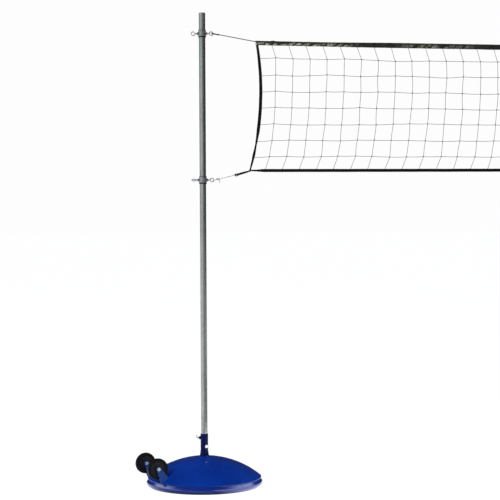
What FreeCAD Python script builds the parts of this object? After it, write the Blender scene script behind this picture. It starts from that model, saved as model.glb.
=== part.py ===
import FreeCAD, Part
import math
import os

from FreeCAD import Rotation, Vector

# A volleyball net on two portable standards, in millimetres.
# The origin is on the floor midway between the posts. +X runs along the net, +Z is up.
# The left standard stands at -X. The right one is the same standard turned half round about Z.
# Each standard is drawn about its own post axis, with the net on its +X side.

# Net, seen from the front
NET_LENGTH = 9750.0            # along the top tape, from end to end
TOP_GAP = 292.0                # post axis to the top tape's end
BOTTOM_GAP = 252.0             # post axis to the bottom tape's end
SIDE_TOP_GAP = 297.0           # post axis to the side tape's middle line at the top
SIDE_BOTTOM_GAP = 259.0        # the same at the bottom
SIDE_BOW = 36.0                # how far the side tape bows in between its corners
HEADLINE_END_Z = 2436.0        # headline's height at the top tape's end
TOP_SAG = 68.0                 # how much lower the headline hangs at mid-span
SAG_RUNS = 10                  # straight stretches that the sagging headline is drawn with
BOTTOM_END_Z = 1727.0          # bottom tape's middle line at its end
BOTTOM_SAG = 10.0
TAPE_ABOVE = 5.0               # top tape's upper edge above the headline
TAPE_BELOW = 23.0              # its lower edge below the headline
TAPE_THICK = 8.0
SIDE_TAPE_WIDTH = 16.0
BOTTOM_TAPE_WIDTH = 14.0
EDGE_TAPE_THICK = 5.0
NETTING_THICK = 2.0
TAPE_WALL = 1.2                # one layer of folded tape
SLIDE_GAP = 0.3                # clearance between soft layers

# Lines at the net's corners
HEADLINE_R = 2.5
HEADLINE_EYE_R = 7.0           # middle line of the eye round the ring
TAPE_END_BEND_R = 200.0        # headline's bend where it enters the top tape
SAG_BEND_R = 150000.0          # its bends along the sag
SLEEVE_START = 22.0            # from the ring's wire
SLEEVE_LENGTH = 18.0
SLEEVE_R = 3.9
SLEEVE_BORE_R = 2.6
TIE_R = 2.0
TIE_EYE_R = 6.4
TIE_LEG = 2.3                  # each leg of the tie cord's eye, from its middle line
TIE_KNOT_START = 18.5          # along the tie cord from the ring's wire
TIE_KNOT_LENGTH = 13.0
TIE_KNOT_SIZE = 11.0
TIE_TAIL_DROP = 21.0           # how far the cord's cut end hangs below its knot
STRAP_KNOT_SIZE = 9.0
STRAP_WIDTH = 12.0
STRAP_THICK = 2.4
STRAP_END_GAP = 187.0          # post axis to the strap's outer end
STRAP_END_Z = 1704.0
STRAP_GAP = 1.5                # between the strap's ends and what it meets

# Post
POST_R = 17.5
POST_WALL = 2.0
POST_BOTTOM_Z = 7.3
POST_TOP_Z = 2590.0
SLIP = 0.4                     # radial clearance of the socket and the collars on the post

# Base
RIM_R = 320.5                  # the rolled rim at its widest
RIM_LOW_Z = 12.0               # its straight stretch, before rounding
RIM_HIGH_Z = 24.0
RIM_INNER_R = 306.0
NECK_R = 309.5                 # the rim's neck under the dome's edge
NECK_Z = 41.0
LIP_Z = 44.4
DOME_R = 313.0
DOME_EDGE_Z = 47.0
DOME_TOP_Z = 157.0
DOME_SHEET = 2.5
DOME_TURN_R = 310.0            # inside of the dome's turned-down edge
DOME_TURN_Z = 43.0
PAN_BOTTOM_Z = 4.0
PLATE_TOP_Z = 7.0
FOOT_OUTER_R = 305.0
FOOT_INNER_R = 285.0
FILL_GAP = 0.5                 # between the concrete and the steel skin

# Socket
SOCKET_WALL = 3.1
SOCKET_TOP_Z = 281.5
COLLAR_SEAT_Z = 188.0
LOCK_Z = 259.0
SET_BOLT_Z = 213.5
SET_BOLT_ANGLE = 28.0          # from the front, towards the net
SET_BOLT_R = 5.0
SET_BOLT_FLATS = 16.0
SCREW_R = 4.0
SCREW_SLIP = 0.1
SCREW_TIP_GAP = 0.4
SCREW_HANDLE_R = 3.0
SCREW_SHANK_END = 33.0         # from the post axis, where the handle starts

# Collars and eyebolts
UPPER_COLLAR_Z = 2476.0
LOWER_COLLAR_Z = 1675.5
COLLAR_HEIGHT = 42.0
BOSS_R = 8.0
BOSS_REACH = 28.5
RING_X = 50.0
RING_R = 10.0                  # middle line of the ring
RING_WIRE_R = 3.0
LOWER_FREE_TURN = 60.0         # how far the lower free eyebolt has been left turned

# Wheels
WHEEL_BEARING = 202.0          # direction of the wheel pair from the post, about Z
WHEEL_RHO = 306.0
WHEEL_SPREAD = 106.0
AXLE_Z = 123.5
TYRE_R = 57.0
TYRE_HALF = 10.0               # half the tyre's width
HUB_R = 38.9
HUB_BOSS_HALF = 11.5
HUB_WEB = 2.5                  # half the thickness of the hub's web
RIB_COUNT = 6
RIB_THICK = 3.0
AXLE_R = 5.0
AXLE_FLATS = 17.0
AXLE_TAIL = 11.0               # threaded end beyond the fork
BOLT_HEAD = 6.5
AXLE_NUT = 8.0
PLATE_INNER = 13.0             # from the wheel's middle plane to the fork plate
PLATE_THICK = 4.0
PLATE_EYE_R = 13.0
PLATE_FOOT_IN = 228.0          # the plate's foot, from the post axis
PLATE_FOOT_OUT = 291.0

POST_SPACING = NET_LENGTH + 2.0 * TOP_GAP
HALF_SPACING = POST_SPACING / 2.0
SOCKET_INNER_R = POST_R + SLIP
SOCKET_OUTER_R = SOCKET_INNER_R + SOCKET_WALL
DOME_RISE = DOME_TOP_Z - DOME_EDGE_Z
SPHERE_R = (DOME_R ** 2 + DOME_RISE ** 2) / (2.0 * DOME_RISE)
SPHERE_Z = DOME_TOP_Z - SPHERE_R
RING_WIRE_X = RING_X + RING_R
UP = Vector(0, 0, 1)
ALONG_X = Vector(1, 0, 0)
ALONG_Y = Vector(0, 1, 0)


# ---------------------------------------------------------------- general shapes

def turned(outline):
    """Solid of revolution about Z from an outline of (radius, height) corners."""
    corners = [Vector(r, 0, z) for r, z in outline]
    face = Part.Face(Part.makePolygon(corners + corners[:1]))
    return face.revolve(Vector(0, 0, 0), UP, 360)


def tube(outer_r, inner_r, low_z, high_z):
    return turned([(inner_r, low_z), (outer_r, low_z), (outer_r, high_z), (inner_r, high_z)])


def rod(radius, start, direction, length):
    return Part.makeCylinder(radius, length, start, direction)


def hexagon_bar(across_flats, start, direction, length):
    """Hexagonal prism from start along direction."""
    corner_r = across_flats / math.sqrt(3.0)
    corners = []
    for side in range(6):
        angle = math.radians(60.0 * side)
        corners.append(Vector(corner_r * math.cos(angle), corner_r * math.sin(angle), 0))
    prism = Part.Face(Part.makePolygon(corners + corners[:1])).extrude(UP * length)
    prism.Placement = FreeCAD.Placement(start, Rotation(UP, direction))
    return prism


def softened(shape, size, wanted):
    """Fillet the edges for which wanted(edge) is true."""
    edges = [edge for edge in shape.Edges if wanted(edge)]
    return shape.makeFillet(size, edges)


def rounded_path(corners, radii):
    """Wire of straight runs through the corners, joined by tangent arcs of the given radii."""
    edges = []
    last = corners[0]
    for index, radius in enumerate(radii, start=1):
        into = (corners[index] - corners[index - 1]).normalize()
        out = (corners[index + 1] - corners[index]).normalize()
        half_turn = into.getAngle(out) / 2.0
        reach = radius * math.tan(half_turn)
        inward = (out - into).normalize()
        centre = corners[index] + inward * (radius / math.cos(half_turn))
        start = corners[index] - into * reach
        end = corners[index] + out * reach
        if (start - last).Length > 1e-3:
            edges.append(Part.LineSegment(last, start).toShape())
        edges.append(Part.Arc(start, centre - inward * radius, end).toShape())
        last = end
    edges.append(Part.LineSegment(last, corners[-1]).toShape())
    return Part.Wire(edges)


def cord(name, radius, corners, radii):
    """Round cord along a rounded path. Prints its length and how true its volume is."""
    path = rounded_path(corners, radii)
    section = Part.Wire(Part.makeCircle(radius, corners[0], corners[1] - corners[0]))
    solid = path.makePipeShell([section], True, False)
    share = solid.Volume / (math.pi * radius ** 2 * path.Length)
    print("%s: length %.0f mm, radii %s, volume share %.4f" % (name, path.Length, radii, share))
    return solid


def half_turned(shape):
    """Copy of a shape turned half round about the origin's vertical axis."""
    copy = shape.copy()
    copy.rotate(Vector(0, 0, 0), UP, 180)
    return copy


# ---------------------------------------------------------------- one standard's base

def dome_height(radius, inset=0.0):
    """Height of the dome's surface, or of one inset below it, at a radius from the post axis."""
    return SPHERE_Z + math.sqrt((SPHERE_R - inset) ** 2 - radius ** 2)


def cap_profile(inner_r, outer_r, inset, low_z):
    """Edges of a region under the dome: down the outside, along the bottom and up the inside."""
    mid_r = (inner_r + outer_r) / 2.0
    crown = Vector(inner_r, 0, dome_height(inner_r, inset))
    shoulder = Vector(outer_r, 0, dome_height(outer_r, inset))
    middle = Vector(mid_r, 0, dome_height(mid_r, inset))
    foot_out = Vector(outer_r, 0, low_z)
    foot_in = Vector(inner_r, 0, low_z)
    return [
        Part.Arc(crown, middle, shoulder).toShape(),
        Part.LineSegment(shoulder, foot_out).toShape(),
        Part.LineSegment(foot_out, foot_in).toShape(),
        Part.LineSegment(foot_in, crown).toShape(),
    ]


def cap_solid(inner_r, outer_r, inset, low_z):
    face = Part.Face(Part.Wire(cap_profile(inner_r, outer_r, inset, low_z)))
    return face.revolve(Vector(0, 0, 0), UP, 360)


def base_pan():
    """Steel tray: a flat bottom and a heavy rolled rim, necked in under the dome's edge."""
    pan = turned([
        (0, PAN_BOTTOM_Z), (RIM_R - 8.5, PAN_BOTTOM_Z), (RIM_R, RIM_LOW_Z), (RIM_R, RIM_HIGH_Z),
        (NECK_R, NECK_Z), (NECK_R, LIP_Z), (RIM_INNER_R, LIP_Z), (RIM_INNER_R, PLATE_TOP_Z),
        (0, PLATE_TOP_Z),
    ])
    pan = softened(pan, 8.0, lambda edge: is_circle(edge, RIM_R))
    return softened(pan, 3.5, lambda edge: is_circle(edge, RIM_R - 8.5))


def is_circle(edge, radius, height=None):
    if not isinstance(edge.Curve, Part.Circle):
        return False
    if abs(edge.Curve.Radius - radius) > 0.01:
        return False
    return height is None or abs(edge.Curve.Center.z - height) < 0.01


def base_dome():
    """Domed sheet-steel lid. Its turned-down edge hides the rim's neck."""
    hole_r = SOCKET_OUTER_R + SLIDE_GAP
    outside = cap_solid(hole_r, DOME_R, 0.0, DOME_TURN_Z)
    inside = cap_solid(hole_r / 2.0, DOME_TURN_R, DOME_SHEET, DOME_TURN_Z - 1.0)
    dome = outside.cut(inside)
    return softened(dome, 2.0, lambda edge: is_circle(edge, DOME_R, DOME_EDGE_Z))


def ballast():
    """Concrete fill inside the pan and the dome."""
    inner_r = SOCKET_OUTER_R + FILL_GAP
    outer_r = RIM_INNER_R - FILL_GAP
    return cap_solid(inner_r, outer_r, DOME_SHEET + FILL_GAP, PLATE_TOP_Z)


def floor_ring():
    """Rubber ring that the standard stands on."""
    return tube(FOOT_OUTER_R, FOOT_INNER_R, 0.0, PAN_BOTTOM_Z)


# ---------------------------------------------------------------- one standard's socket

def set_bolt_direction():
    angle = math.radians(SET_BOLT_ANGLE)
    return Vector(math.sin(angle), -math.cos(angle), 0)


def socket_tube():
    """Tube that holds the post, from the pan's floor to above the dome."""
    chamfer = 1.0
    body = turned([
        (SOCKET_INNER_R, PLATE_TOP_Z), (SOCKET_OUTER_R, PLATE_TOP_Z),
        (SOCKET_OUTER_R, SOCKET_TOP_Z - chamfer), (SOCKET_OUTER_R - chamfer, SOCKET_TOP_Z),
        (SOCKET_INNER_R + chamfer, SOCKET_TOP_Z), (SOCKET_INNER_R, SOCKET_TOP_Z - chamfer),
    ])
    lock_hole = rod(SCREW_R + 0.5, Vector(0, 0, LOCK_Z), -ALONG_X, 40)
    bolt_hole = rod(SET_BOLT_R + SCREW_SLIP, Vector(0, 0, SET_BOLT_Z), set_bolt_direction(), 40)
    return body.cut(lock_hole).cut(bolt_hole)


def socket_collar():
    """Cone of weld where the socket leaves the dome."""
    inner_r = SOCKET_OUTER_R + SLIDE_GAP
    foot_z = DOME_TOP_Z + 0.1
    return turned([
        (inner_r, foot_z), (29.0, foot_z), (27.5, foot_z + 2.5), (25.0, foot_z + 8.0),
        (23.5, foot_z + 15.0), (22.8, foot_z + 23.0), (22.3, COLLAR_SEAT_Z),
        (inner_r, COLLAR_SEAT_Z),
    ])


def socket_lock_nut():
    """Nut welded to the socket's outer side, for the lock screw."""
    bar = hexagon_bar(2.0 * BOSS_R, Vector(0, 0, LOCK_Z), -ALONG_X, BOSS_REACH)
    core = rod(SOCKET_OUTER_R + 0.05, Vector(0, 0, LOCK_Z - 30), UP, 60)
    hole = rod(SCREW_R + SCREW_SLIP, Vector(0, 0, LOCK_Z), -ALONG_X, 60)
    return bar.cut(core).cut(hole)


def socket_lock_screw():
    """Thumb screw with a bent wire handle. Its tip presses on the post."""
    tip = POST_R + SCREW_TIP_GAP
    shank = rod(SCREW_R, Vector(-tip, 0, LOCK_Z), -ALONG_X, SCREW_SHANK_END - tip)
    handle = cord("lock screw handle", SCREW_HANDLE_R, [
        Vector(1.0 - SCREW_SHANK_END, 0, LOCK_Z), Vector(-SCREW_SHANK_END - 6.5, 0, LOCK_Z),
        Vector(-SCREW_SHANK_END - 11.0, 0, LOCK_Z + 13.0),
    ], [6.0])
    return shank.fuse(handle)


def socket_set_bolt():
    """Second, hexagon-headed clamping bolt, low on the socket's front."""
    direction = set_bolt_direction()
    centre = Vector(0, 0, SET_BOLT_Z)
    seat = SOCKET_OUTER_R + 0.3
    tip = POST_R + SCREW_TIP_GAP
    shank = rod(SET_BOLT_R, centre + direction * tip, direction, seat - tip + 1.0)
    head = hexagon_bar(SET_BOLT_FLATS, centre + direction * seat, direction, BOLT_HEAD)
    return shank.fuse(head)


def post():
    return tube(POST_R, POST_R - POST_WALL, POST_BOTTOM_Z, POST_TOP_Z)


# ---------------------------------------------------------------- collars and eyebolts

def collar(height):
    """Sliding collar with a threaded boss on each side of the post."""
    chamfer = 1.0
    half = COLLAR_HEIGHT / 2.0
    outer_r = SOCKET_OUTER_R
    ring = turned([
        (SOCKET_INNER_R, height - half), (outer_r - chamfer, height - half),
        (outer_r, height - half + chamfer), (outer_r, height + half - chamfer),
        (outer_r - chamfer, height + half), (SOCKET_INNER_R, height + half),
    ])
    centre = Vector(0, 0, height)
    bosses = rod(BOSS_R, centre - ALONG_X * BOSS_REACH, ALONG_X, 2.0 * BOSS_REACH)
    passage = rod(SOCKET_INNER_R, centre - UP * 40, UP, 80)
    holes = rod(SCREW_R + SCREW_SLIP, centre - ALONG_X * 60, ALONG_X, 120)
    return ring.fuse(bosses.cut(passage)).cut(holes)


def eyebolt(height, side, turn):
    """Eyebolt screwed into a collar's boss, on side +1 (net) or -1 (free)."""
    tip = POST_R + SCREW_TIP_GAP
    shank = rod(SCREW_R, Vector(tip, 0, 0), ALONG_X, RING_X - RING_R - tip)
    ring = Part.makeTorus(RING_R, RING_WIRE_R, Vector(RING_X, 0, 0), ALONG_Y)
    bolt = shank.fuse(ring)
    bolt.rotate(Vector(0, 0, 0), ALONG_X, turn)
    if side < 0:
        bolt = half_turned(bolt)
    bolt.translate(UP * height)
    return bolt


# ---------------------------------------------------------------- wheels
# Drawn with X outwards from the post axis and Y along the axle, then turned to WHEEL_BEARING.

def about_axle(outline, along):
    """Solid of revolution about an axle at the given distance along Y."""
    part = turned(outline)
    part.rotate(Vector(0, 0, 0), ALONG_X, -90)
    part.translate(Vector(WHEEL_RHO, along, AXLE_Z))
    return part


def to_bearing(shape):
    shape.rotate(Vector(0, 0, 0), UP, WHEEL_BEARING)
    return shape


def tyre(along):
    """Solid rubber tyre with a rounded tread."""
    half = [
        (HUB_R + 0.1, TYRE_HALF - 1.5), (TYRE_R - 9.0, TYRE_HALF), (TYRE_R - 3.5, TYRE_HALF - 1.0),
        (TYRE_R - 0.8, TYRE_HALF - 3.5), (TYRE_R, TYRE_HALF - 6.5),
    ]
    return to_bearing(about_axle([(r, -z) for r, z in half] + half[::-1], along))


def wheel_hub(along):
    """Dished hub: a bored boss, a thin web with ribs and a rim."""
    bore_r = AXLE_R + SCREW_SLIP
    boss = HUB_BOSS_HALF
    flange = TYRE_HALF - 2.0
    half = [
        (bore_r, boss), (12.0, boss), (13.0, boss - 1.0), (13.5, HUB_WEB),
        (HUB_R - 5.9, HUB_WEB), (HUB_R - 4.9, flange), (HUB_R, flange),
    ]
    hub = turned([(r, -z) for r, z in half] + half[::-1])
    for index in range(RIB_COUNT):
        rib = Part.makeBox(22.0, RIB_THICK, 12.0, Vector(12.5, -RIB_THICK / 2.0, -6.0))
        rib.rotate(Vector(0, 0, 0), UP, index * 360.0 / RIB_COUNT)
        hub = hub.fuse(rib)
    hub.rotate(Vector(0, 0, 0), ALONG_X, -90)
    hub.translate(Vector(WHEEL_RHO, along, AXLE_Z))
    return to_bearing(hub.removeSplitter())


def fork_plate(inner_along, base_solid):
    """Triangular plate, welded to the dome, that carries one end of an axle."""
    top = Vector(WHEEL_RHO, inner_along, AXLE_Z + PLATE_EYE_R)
    outer = Vector(WHEEL_RHO + PLATE_EYE_R, inner_along, AXLE_Z)
    shoulder_angle = math.radians(140.0)
    shoulder = Vector(WHEEL_RHO + PLATE_EYE_R * math.cos(shoulder_angle), inner_along,
                      AXLE_Z + PLATE_EYE_R * math.sin(shoulder_angle))
    foot_in = Vector(PLATE_FOOT_IN, inner_along, DOME_EDGE_Z)
    foot_out = Vector(PLATE_FOOT_OUT, inner_along, DOME_EDGE_Z - 5.0)
    outline = Part.Wire([
        Part.Arc(outer, top, shoulder).toShape(),
        Part.LineSegment(shoulder, foot_in).toShape(),
        Part.LineSegment(foot_in, foot_out).toShape(),
        Part.LineSegment(foot_out, outer).toShape(),
    ])
    plate = Part.Face(outline).extrude(ALONG_Y * PLATE_THICK)
    hole = rod(AXLE_R + 0.2, Vector(WHEEL_RHO, -400, AXLE_Z), ALONG_Y, 800)
    return plate.cut(hole).cut(base_solid)


def wheel_forks():
    """Both wheels' forks, two plates each."""
    skin = 0.05
    dome = Part.makeSphere(SPHERE_R + skin, Vector(0, 0, SPHERE_Z))
    rim = rod(RIM_R + skin, Vector(0, 0, 0), UP, DOME_EDGE_Z + skin)
    plates = []
    for along in (WHEEL_SPREAD, -WHEEL_SPREAD):
        for inner in (along + PLATE_INNER, along - PLATE_INNER - PLATE_THICK):
            plates.append(fork_plate(inner, dome).cut(rim))
    return to_bearing(Part.makeCompound(plates))


def axle_bolts():
    """One hexagon-headed bolt through each fork, with its head on the front side."""
    reach = PLATE_INNER + PLATE_THICK + 0.1
    bolts = []
    for along in (WHEEL_SPREAD, -WHEEL_SPREAD):
        tail = Vector(WHEEL_RHO, along - reach - AXLE_TAIL, AXLE_Z)
        shank = rod(AXLE_R, tail, ALONG_Y, 2.0 * reach + AXLE_TAIL + 0.5)
        head = hexagon_bar(AXLE_FLATS, Vector(WHEEL_RHO, along + reach, AXLE_Z), ALONG_Y,
                           BOLT_HEAD)
        bolts.append(shank.fuse(head))
    return to_bearing(Part.makeCompound(bolts))


def axle_nuts():
    """The nut at the other end of each axle bolt."""
    reach = PLATE_INNER + PLATE_THICK + 0.1
    nuts = []
    for along in (WHEEL_SPREAD, -WHEEL_SPREAD):
        face = Vector(WHEEL_RHO, along - reach, AXLE_Z)
        nut = hexagon_bar(AXLE_FLATS, face, -ALONG_Y, AXLE_NUT)
        nuts.append(nut.cut(rod(AXLE_R + SCREW_SLIP, face + ALONG_Y, -ALONG_Y, AXLE_NUT + 4.0)))
    return to_bearing(Part.makeCompound(nuts))


def standard():
    """All parts of one standard, about its own post axis, by name."""
    return {
        "base_pan": base_pan(),
        "base_dome": base_dome(),
        "ballast": ballast(),
        "floor_ring": floor_ring(),
        "socket_tube": socket_tube(),
        "socket_collar": socket_collar(),
        "socket_lock_nut": socket_lock_nut(),
        "socket_lock_screw": socket_lock_screw(),
        "socket_set_bolt": socket_set_bolt(),
        "post": post(),
        "upper_collar": collar(UPPER_COLLAR_Z),
        "upper_net_eyebolt": eyebolt(UPPER_COLLAR_Z, 1, 0.0),
        "upper_free_eyebolt": eyebolt(UPPER_COLLAR_Z, -1, 0.0),
        "lower_collar": collar(LOWER_COLLAR_Z),
        "lower_net_eyebolt": eyebolt(LOWER_COLLAR_Z, 1, 0.0),
        "lower_free_eyebolt": eyebolt(LOWER_COLLAR_Z, -1, LOWER_FREE_TURN),
        "wheel_forks": wheel_forks(),
        "wheel_axle_bolts": axle_bolts(),
        "wheel_axle_nuts": axle_nuts(),
        "front_wheel_tyre": tyre(WHEEL_SPREAD),
        "front_wheel_hub": wheel_hub(WHEEL_SPREAD),
        "back_wheel_tyre": tyre(-WHEEL_SPREAD),
        "back_wheel_hub": wheel_hub(-WHEEL_SPREAD),
    }


# ---------------------------------------------------------------- net
# Its curved edges are arcs of large circles in the XZ plane: one along the top tape, one along
# the bottom tape, and one along each side tape.

TOP_HALF = NET_LENGTH / 2.0
TOP_ARC_R = (TOP_HALF ** 2 + TOP_SAG ** 2) / (2.0 * TOP_SAG)
TOP_ARC_Z = HEADLINE_END_Z - TOP_SAG + TOP_ARC_R
BOTTOM_HALF = HALF_SPACING - BOTTOM_GAP
BOTTOM_ARC_R = (BOTTOM_HALF ** 2 + BOTTOM_SAG ** 2) / (2.0 * BOTTOM_SAG)
BOTTOM_ARC_Z = BOTTOM_END_Z - BOTTOM_SAG + BOTTOM_ARC_R
SIDE_TOP = Vector(SIDE_TOP_GAP - HALF_SPACING, 0, HEADLINE_END_Z)
SIDE_BOTTOM = Vector(SIDE_BOTTOM_GAP - HALF_SPACING, 0, BOTTOM_END_Z)


def sag_arc(arc_r, arc_z, drop, half):
    """Arc that runs drop below a sagging line, from -half to +half along X."""
    radius = arc_r + drop
    end_z = arc_z - math.sqrt(radius ** 2 - half ** 2)
    return Vector(-half, 0, end_z), Vector(0, 0, arc_z - radius), Vector(half, 0, end_z)


def slab(top_drop, bottom_drop, half, thick):
    """Panel between a line below the headline and a line below the bottom tape's middle."""
    top = sag_arc(TOP_ARC_R, TOP_ARC_Z, top_drop, half)
    bottom = sag_arc(BOTTOM_ARC_R, BOTTOM_ARC_Z, bottom_drop, half)
    return thickened([
        Part.Arc(*top).toShape(),
        Part.LineSegment(top[2], bottom[2]).toShape(),
        Part.Arc(*bottom).toShape(),
        Part.LineSegment(bottom[0], top[0]).toShape(),
    ], thick)


def band(arc_r, arc_z, drop_from, drop_to, half, thick):
    """Strip along a sagging line, between two drops below it."""
    upper = sag_arc(arc_r, arc_z, drop_from, half)
    lower = sag_arc(arc_r, arc_z, drop_to, half)
    return thickened([
        Part.Arc(*upper).toShape(),
        Part.LineSegment(upper[2], lower[2]).toShape(),
        Part.Arc(*lower).toShape(),
        Part.LineSegment(lower[0], upper[0]).toShape(),
    ], thick)


def thickened(edges, thick):
    face = Part.Face(Part.Wire(Part.__sortEdges__(edges)))
    face.translate(ALONG_Y * (-thick / 2.0))
    return face.extrude(ALONG_Y * thick)


def side_disc(offset, thick):
    """Disc whose edge is the left side tape's middle line, moved offset towards the net."""
    chord = SIDE_TOP - SIDE_BOTTOM
    inward = Vector(chord.z, 0, -chord.x).normalize()
    radius = (chord.Length ** 2 / 4.0 + SIDE_BOW ** 2) / (2.0 * SIDE_BOW)
    centre = (SIDE_TOP + SIDE_BOTTOM) * 0.5 + inward * (SIDE_BOW - radius)
    return rod(radius + offset, centre - ALONG_Y * (thick / 2.0), ALONG_Y, thick)


def netting():
    """Plain panel that fills the space of the knotted netting."""
    reach = HALF_SPACING - 150.0
    edge_in = SIDE_TAPE_WIDTH / 2.0 - TAPE_WALL - 3.0
    panel = slab(HEADLINE_R + 3.0, 3.0, reach, NETTING_THICK)
    left = side_disc(-edge_in, 2.0 * NETTING_THICK)
    return panel.cut(left).cut(half_turned(left))


def top_tape():
    """Headband folded over the headline, open along its lower edge."""
    slot = TAPE_THICK - 2.0 * TAPE_WALL
    outside = band(TOP_ARC_R, TOP_ARC_Z, -TAPE_ABOVE, TAPE_BELOW, TOP_HALF, TAPE_THICK)
    inside = band(TOP_ARC_R, TOP_ARC_Z, TAPE_WALL - TAPE_ABOVE, TAPE_BELOW + 1.0,
                  TOP_HALF + 1.0, slot)
    return outside.cut(inside)


def bottom_tape():
    """Tape folded over the netting's lower edge, open along its upper edge."""
    half_width = BOTTOM_TAPE_WIDTH / 2.0
    slot = EDGE_TAPE_THICK - 2.0 * TAPE_WALL
    outside = band(BOTTOM_ARC_R, BOTTOM_ARC_Z, -half_width, half_width, BOTTOM_HALF,
                   EDGE_TAPE_THICK)
    inside = band(BOTTOM_ARC_R, BOTTOM_ARC_Z, -half_width - 1.0, half_width - TAPE_WALL,
                  BOTTOM_HALF + 1.0, slot)
    return outside.cut(inside)


def left_side_tape():
    """Tape folded over the netting's end, open towards the net."""
    half_width = SIDE_TAPE_WIDTH / 2.0
    gap = 0.5
    slot = EDGE_TAPE_THICK - 2.0 * TAPE_WALL
    column = slab(TAPE_BELOW + gap, -BOTTOM_TAPE_WIDTH / 2.0 - gap, HALF_SPACING, EDGE_TAPE_THICK)
    left_half = Part.makeBox(HALF_SPACING, 20.0, 3000.0, Vector(-HALF_SPACING, -10.0, 0))
    outer = side_disc(half_width, EDGE_TAPE_THICK)
    inner = side_disc(-half_width, 2.0 * EDGE_TAPE_THICK)
    fold = side_disc(half_width + 1.0, slot)
    fold = fold.cut(side_disc(-half_width + TAPE_WALL, 2.0 * slot))
    return column.common(left_half).common(outer).cut(inner).cut(fold)


# ---------------------------------------------------------------- lines at the corners

def slope_frame(ring_z, target):
    """Placement at the left net-side ring's outer wire, with its X axis aimed at a target."""
    origin = Vector(RING_WIRE_X - HALF_SPACING, 0, ring_z)
    aim = target - origin
    pitch = math.degrees(math.atan2(aim.z, aim.x))
    return FreeCAD.Placement(origin, Rotation(ALONG_Y, -pitch))


def sag_points():
    """Points along the sagging headline, from the top tape's left end to its right end."""
    points = []
    for index in range(SAG_RUNS + 1):
        x = NET_LENGTH * (index / SAG_RUNS - 0.5)
        dip = TOP_SAG * (1.0 - (x / TOP_HALF) ** 2)
        points.append(Vector(x, 0, HEADLINE_END_Z - dip))
    return points


def headline():
    """Cable from ring to ring: an eye round each ring, straight ends and a sagging middle."""
    sag = sag_points()
    place = slope_frame(UPPER_COLLAR_Z, sag[0])
    leg = 2.0 * SLEEVE_BORE_R
    eye = HEADLINE_EYE_R
    flat = [
        (SLEEVE_START + SLEEVE_LENGTH - 1.0, leg), (SLEEVE_START - 4.0, leg), (8.0, eye),
        (-eye, eye), (-eye, -eye), (4.0, -eye), (SLEEVE_START - 4.0, 0.0),
    ]
    left = [place.multVec(Vector(u, y, 0)) for u, y in flat]
    right = [Vector(-p.x, -p.y, p.z) for p in reversed(left)]
    end_radii = [15.0, 15.0, eye, eye, 12.0, 12.0, TAPE_END_BEND_R]
    radii = end_radii + [SAG_BEND_R] * (SAG_RUNS - 1) + end_radii[::-1]
    return cord("headline", HEADLINE_R, left + sag + right, radii)


def stadium_bar(radius, spread, start, length):
    """Bar along X with a flat oval section: two circles, spread apart along Y, and what joins them."""
    low = Vector(start, 0, 0)
    high = Vector(start, spread, 0)
    joining = Part.makeBox(length, spread, 2.0 * radius, Vector(start, 0, -radius))
    bar = rod(radius, low, ALONG_X, length).fuse([rod(radius, high, ALONG_X, length), joining])
    return bar.removeSplitter()


def headline_sleeves():
    """Oval sleeve that grips both legs of each eye."""
    leg = 2.0 * SLEEVE_BORE_R
    body = stadium_bar(SLEEVE_R, leg, SLEEVE_START, SLEEVE_LENGTH)
    left = body.cut(stadium_bar(SLEEVE_BORE_R, leg, SLEEVE_START - 1.0, SLEEVE_LENGTH + 2.0))
    left.Placement = slope_frame(UPPER_COLLAR_Z, sag_points()[0])
    return Part.makeCompound([left, half_turned(left)])


def strap_end():
    return Vector(STRAP_END_GAP - HALF_SPACING, 0, STRAP_END_Z)


def tie_length():
    """From the ring's wire to the knot against the strap's end."""
    ring_wire = Vector(RING_WIRE_X - HALF_SPACING, 0, LOWER_COLLAR_Z)
    return (strap_end() - ring_wire).Length - STRAP_KNOT_SIZE


def left_tie_cord():
    """Thin cord: its eye round the ring, its straight line to the strap, and its hanging tail."""
    place = slope_frame(LOWER_COLLAR_Z, strap_end())
    eye = TIE_EYE_R
    half = [(TIE_KNOT_START, TIE_LEG), (TIE_KNOT_START - 3.0, TIE_LEG), (5.0, eye), (-eye, eye)]
    flat = half + [(u, -y) for u, y in reversed(half)]
    loop = cord("tie cord eye", TIE_R, [Vector(u, y, 0) for u, y in flat],
                [6.0, 8.0, eye, eye, 8.0, 6.0])
    line_start = TIE_KNOT_START + TIE_KNOT_LENGTH
    line = rod(TIE_R, Vector(line_start, 0, 0), ALONG_X, tie_length() - line_start)
    drop = -TIE_KNOT_SIZE / 2.0
    tail_x = TIE_KNOT_START + 5.0
    tail = cord("tie cord tail", TIE_R, [
        Vector(tail_x, 0, drop), Vector(tail_x, 0, drop - 9.0),
        Vector(tail_x - 3.5, 0, drop - TIE_TAIL_DROP),
    ], [20.0])
    whole = Part.makeCompound([loop, line, tail])
    whole.Placement = place
    return whole


def left_knots():
    """The tie cord's two knots: one by the ring and one against the strap."""
    half = TIE_KNOT_SIZE / 2.0
    by_ring = Part.makeBox(TIE_KNOT_LENGTH, TIE_KNOT_SIZE, TIE_KNOT_SIZE,
                           Vector(TIE_KNOT_START, -half, -half))
    half = STRAP_KNOT_SIZE / 2.0
    by_strap = Part.makeBox(STRAP_KNOT_SIZE, STRAP_KNOT_SIZE, STRAP_KNOT_SIZE,
                            Vector(tie_length(), -half, -half))
    knots = Part.makeCompound([by_ring.makeFillet(2.5, by_ring.Edges),
                               by_strap.makeFillet(2.0, by_strap.Edges)])
    knots.Placement = slope_frame(LOWER_COLLAR_Z, strap_end())
    return knots


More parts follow.
